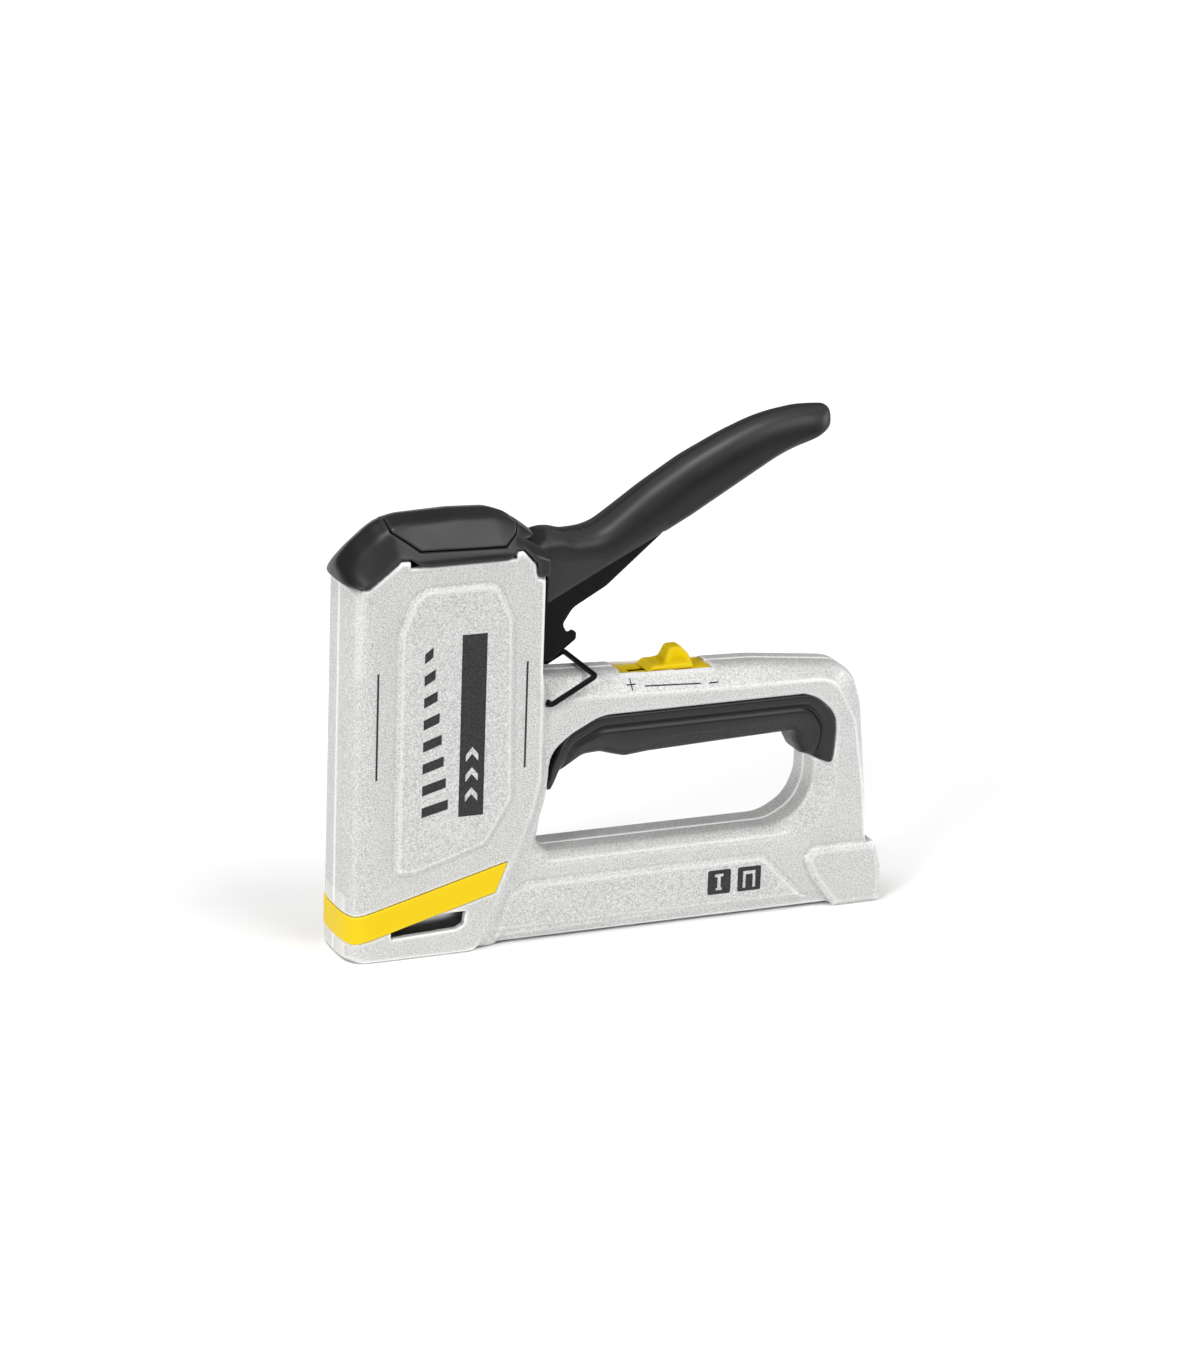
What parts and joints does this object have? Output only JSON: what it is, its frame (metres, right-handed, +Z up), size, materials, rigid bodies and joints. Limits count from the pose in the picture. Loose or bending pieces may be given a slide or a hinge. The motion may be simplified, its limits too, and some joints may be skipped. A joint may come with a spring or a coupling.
{
  "type": "staple gun",
  "caption": "Hand staple gun with cast half-shell body, closed handle loop, squeeze lever, wire lock, sliding power selector and rear-pull staple magazine.",
  "frame": {"origin": "middle of the footprint, on the plane that the sole and heel rest on", "axes": "+X from the nose to the heel, +Y to the side that the screws enter from, +Z up towards the cap"},
  "size_m": [0.1972, 0.032, 0.1753],
  "materials": {
    "cast": "silver sparkle powder coat, fine grain",
    "cap": "satin moulded nylon, dark grey",
    "lever_plastic": "satin moulded nylon, dark grey",
    "grip": "soft elastomer with a fine lattice",
    "band": "satin moulded plastic, yellow",
    "black_steel": "black oxide",
    "steel": "bright zinc plate",
    "spring_steel": "oiled spring wire",
    "black_plastic": "textured moulded nylon",
    "bumper_rubber": "moulded rubber"
  },
  "bodies": {
    "casing": {"left_shell": "cast", "right_shell": "cast", "shell_screws": "steel", "top_cap": "cap", "cap_panel": "cap", "nose_band": "band", "grip_insert": "grip", "nose_plate": "steel", "magazine_channel": "steel", "spring_seat": "steel", "bumper": "bumper_rubber", "pivot_pin": "steel", "pivot_washers": "steel", "power_plate": "band", "main_spring": "spring_steel", "lever_spring": "spring_steel"},
    "lever": {"lever_grip": "lever_plastic", "lever_channel": "black_steel", "grip_rivets": "steel", "lifter_pin": "steel"},
    "striker": {"plunger": "steel", "driver_blade": "steel", "blade_rivets": "steel"},
    "drawer": {"magazine_drawer": "steel", "drawer_end": "black_plastic", "pusher_rod": "steel", "pusher_spring": "spring_steel", "latch_spring": "spring_steel"},
    "pusher": {"staple_pusher": "black_plastic"},
    "latch": {"latch_button": "band"},
    "lock": {"lock_wire": "black_steel"},
    "selector": {"power_slider": "band", "power_rod": "steel", "slider_rivet": "steel"}
  },
  "joints": [
    {"name": "lever_squeeze", "type": "hinge", "parent": "casing", "child": "lever", "pos_m": [-0.0338, 0, 0.129], "axis": [0, 1, 0], "range_deg": [0, 22], "stiffness_Nm_per_rad": 5, "springref_deg": -14.32, "deforming": ["lever_spring"]},
    {"name": "plunger_lift", "type": "slide", "parent": "casing", "child": "striker", "axis": [0, 0, 1], "range_m": [0, 0.0162], "deforming": ["main_spring"]},
    {"name": "drawer_slide", "type": "slide", "parent": "casing", "child": "drawer", "axis": [1, 0, 0], "range_m": [0, 0.1]},
    {"name": "pusher_slide", "type": "slide", "parent": "drawer", "child": "pusher", "axis": [1, 0, 0], "range_m": [0, 0.12], "stiffness_N_per_m": 15, "springref_m": -0.1, "deforming": ["pusher_spring"]},
    {"name": "latch_press", "type": "slide", "parent": "drawer", "child": "latch", "axis": [-1, 0, 0], "range_m": [0, 0.0018], "stiffness_N_per_m": 600, "springref_m": -0.001, "deforming": ["latch_spring"]},
    {"name": "lock_swing", "type": "hinge", "parent": "casing", "child": "lock", "pos_m": [-0.0266, 0, 0.0837], "axis": [0, -1, 0], "range_deg": [0, 34]},
    {"name": "power_slide", "type": "slide", "parent": "casing", "child": "selector", "axis": [1, 0, 0], "range_m": [-0.009, 0.005]}
  ],
  "couplings": [
    {"joint": "plunger_lift", "follows": "lever_squeeze", "m_per_rad": 0.04179}
  ]
}
